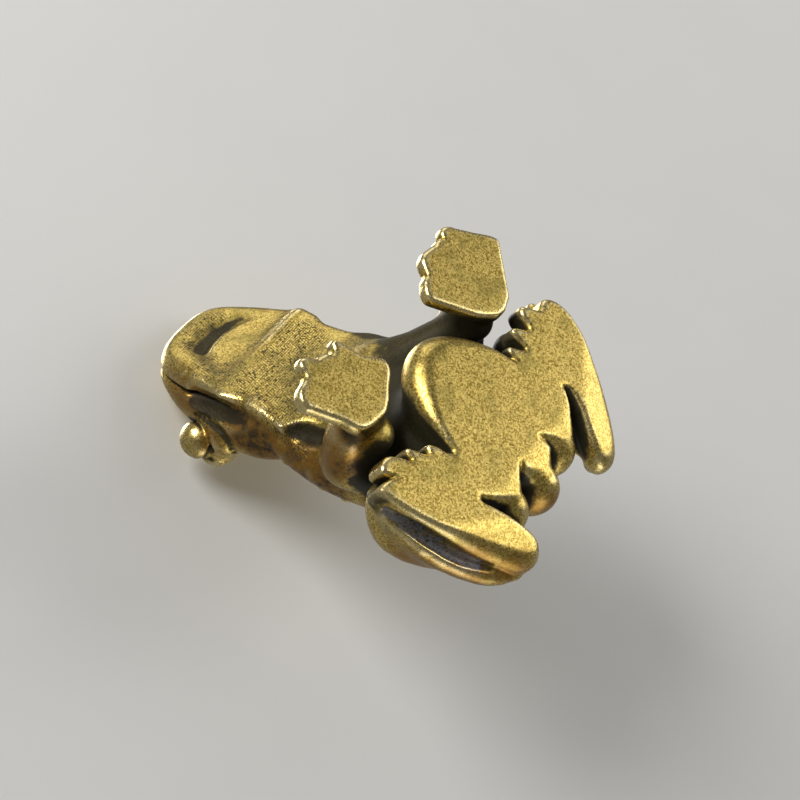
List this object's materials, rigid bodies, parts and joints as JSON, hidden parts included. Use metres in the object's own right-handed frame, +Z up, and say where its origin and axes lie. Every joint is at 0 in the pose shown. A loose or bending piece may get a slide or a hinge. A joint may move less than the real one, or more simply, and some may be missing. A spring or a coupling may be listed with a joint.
{
  "type": "toad figurine",
  "caption": "Small cast brass toad, sitting with its head raised, on flat-ground feet and belly; an ornament for a tea tray or desk.",
  "frame": {"origin": "middle of the footprint's box, on the ground plane of the soles and belly", "axes": "+Z up from the soles, the toad faces -Y, +X to the toad's left"},
  "size_m": [0.0416, 0.048, 0.0342],
  "materials": {
    "brass": "aged, satin on the soles, worn bright on the edges, dark in the creases"
  },
  "bodies": {
    "root": {"trunk": "brass", "head": "brass", "lower_jaw": "brass", "belly_plate": "brass", "rump_lobe_middle": "brass", "eyelid_left": "brass", "eye_left": "brass", "foreleg_left": "brass", "forefoot_left": "brass", "hind_leg_left": "brass", "hind_foot_left": "brass", "rump_lobe_left": "brass", "eyelid_right": "brass", "eye_right": "brass", "foreleg_right": "brass", "forefoot_right": "brass", "hind_leg_right": "brass", "hind_foot_right": "brass", "rump_lobe_right": "brass"}
  },
  "joints": []
}
